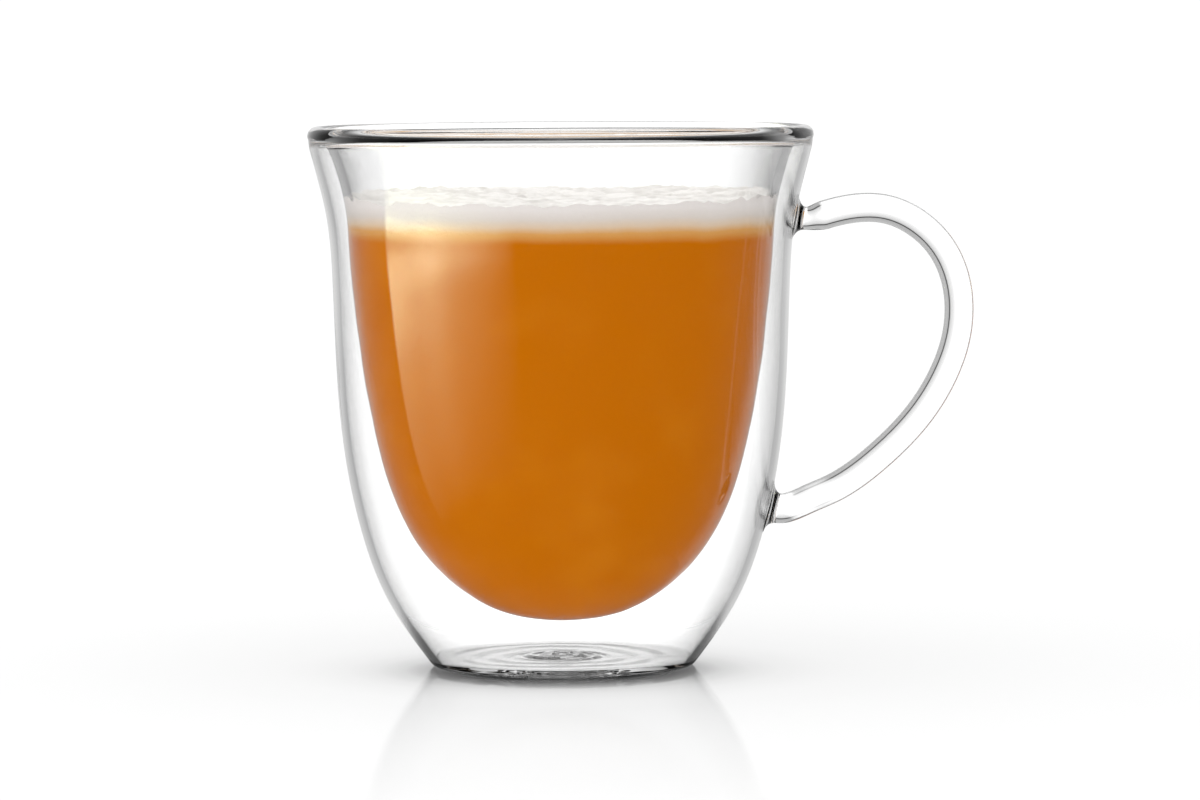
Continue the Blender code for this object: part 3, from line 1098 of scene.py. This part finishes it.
    def floor_finish(self) -> bpy.types.Material:
        """Matt white under a faint gloss, with a painted contact shadow darkening it close to the
        foot.

        Seen through the mug or mirrored in it, the floor ends not far from it and gives way to the
        surroundings. Nearer, its colour is painted brighter when seen through glass and darker when
        mirrored, almost black mirrored in front of the mug: painted light and shade by kind of ray.
        """
        made, sheet, shader, output = new_material("pale_floor")
        sheet.tree.nodes.remove(shader)
        place = sheet.node("ShaderNodeTexCoord").outputs["Object"]
        away = sheet.share(sheet.length(place), 0.0, self.floor_reach)
        # Painted contact shadow round the foot, seen directly.
        off = sheet.length(sheet.vector("ADD", place, self.painted_shadow_shift))
        painted_shade = sheet.ramp(sheet.share(off, 0.0, self.painted_shadow_reach), self.painted_contact_shadow)
        path = sheet.node("ShaderNodeLightPath").outputs
        direct = path["Is Camera Ray"]
        # Painted light and shade by kind of ray: the floor's colour brighter through glass, darker
        # when mirrored, almost black mirrored in front of the mug.
        mirrored = sheet.math("GREATER_THAN", path["Glossy Depth"], 0.5)
        before = sheet.share(sheet.parts(place)[1], *self.floor_front)
        dimmed = sheet.math("MULTIPLY", mirrored, before)
        painted_in_glass = sheet.blend(mirrored, self.through_level, self.painted_mirrored_level)
        painted_in_glass = sheet.blend(dimmed, painted_in_glass, self.painted_front_level)
        colour = sheet.scaled(self.floor_colour, sheet.blend(direct, painted_in_glass, painted_shade))
        matt = sheet.node("ShaderNodeBsdfDiffuse", {"Color": colour}).outputs[0]
        blurred = {"Color": (1.0, 1.0, 1.0, 1.0), "Roughness": self.gloss_blur}
        sheen = sheet.node("ShaderNodeBsdfAnisotropic", blurred).outputs[0]
        gloss = sheet.math("MULTIPLY", sheet.ramp(away, self.floor_gloss), direct)
        near = sheet.node("ShaderNodeMixShader", {0: gloss, 1: matt, 2: sheen}).outputs[0]
        unseen = sheet.math("SUBTRACT", 1.0, direct)
        beyond = sheet.math("MULTIPLY", sheet.ramp(away, self.floor_end, "EASE"), unseen)
        clear = sheet.node("ShaderNodeBsdfTransparent").outputs[0]
        both = sheet.node("ShaderNodeMixShader", {0: beyond, 1: near, 2: clear}).outputs[0]
        sheet.feed(output, {"Surface": both})
        return made

    def camera(self) -> None:
        """A long lens just above the level of the rim."""
        data = bpy.data.cameras.new("viewer")
        data.sensor_width = 36.0
        data.lens = self.lens
        data.clip_start, data.clip_end = 0.01, 50.0
        camera = bpy.data.objects.new("viewer", data)
        tilt = Matrix.Rotation(math.radians(90.0 - self.camera_down), 3, "X")
        roll = Matrix.Rotation(math.radians(self.camera_roll), 3, "Z")
        camera.location = self.camera_place
        camera.rotation_euler = (tilt @ roll).to_euler()
        bpy.context.scene.collection.objects.link(camera)
        bpy.context.scene.camera = camera

    def build(self) -> None:
        """Sets up the floor, the world and the camera, and a plain rendering of colours."""
        self.floor()
        self.world()
        self.camera()
        scene = bpy.context.scene
        scene.view_settings.view_transform = "Standard"
        cycles = scene.cycles
        cycles.max_bounces = self.bounces
        cycles.diffuse_bounces = 0
        cycles.transmission_bounces = self.bounces
        cycles.glossy_bounces = self.glossy_bounces
        cycles.transparent_max_bounces = self.clear_bounces
        cycles.caustics_reflective = cycles.caustics_refractive = False


def finish_piece(
    piece: bpy.types.Object, finish: bpy.types.Material, slot: Slot, *nodes: str
) -> None:
    """Dresses a piece, lets it ride on the mug and stand for its solids, and reports it.

    Args:
        piece: the finished piece.
        finish: its material.
        slot: the record's slot of that finish; not used.
        nodes: the solids that it stands for.
    """
    piece.data.materials.clear()
    piece.data.materials.append(finish)
    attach(piece, "root")
    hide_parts(*nodes)
    piece.data.set_sharp_from_angle(angle=SHARP_FROM)
    LOG.info("%s: %d faces, for %s", piece.name, len(piece.data.polygons), ", ".join(nodes))


def main() -> None:
    """Builds the mug, what it holds and the studio, in that order."""
    logging.basicConfig(level=logging.INFO, format="%(name)s: %(message)s")
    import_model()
    body, drink = MugBody(), Drink()
    glass = ClearGlass().make()
    finish_piece(body.build(RodHandle()), glass, Slot.CLEAR_GLASS, "glass")
    seal = ClearGlass("fused_seal", ripple=0.00012, ripple_scale=420.0, ripple_stretch=1.0)
    finish_piece(VentDrop().build(), seal.make(), Slot.SEAL_GLASS, "vent_seal")
    coffee = drink.build(body)
    coffee.visible_shadow = coffee.visible_diffuse = False
    finish_piece(coffee, MilkCoffee().make(), Slot.MILK_COFFEE, "latte")
    finish_piece(FoamCap(drink).build(body), MilkFoam().make(), Slot.MILK_FOAM, "foam")
    Studio().build()


if __name__ == "__main__":
    main()
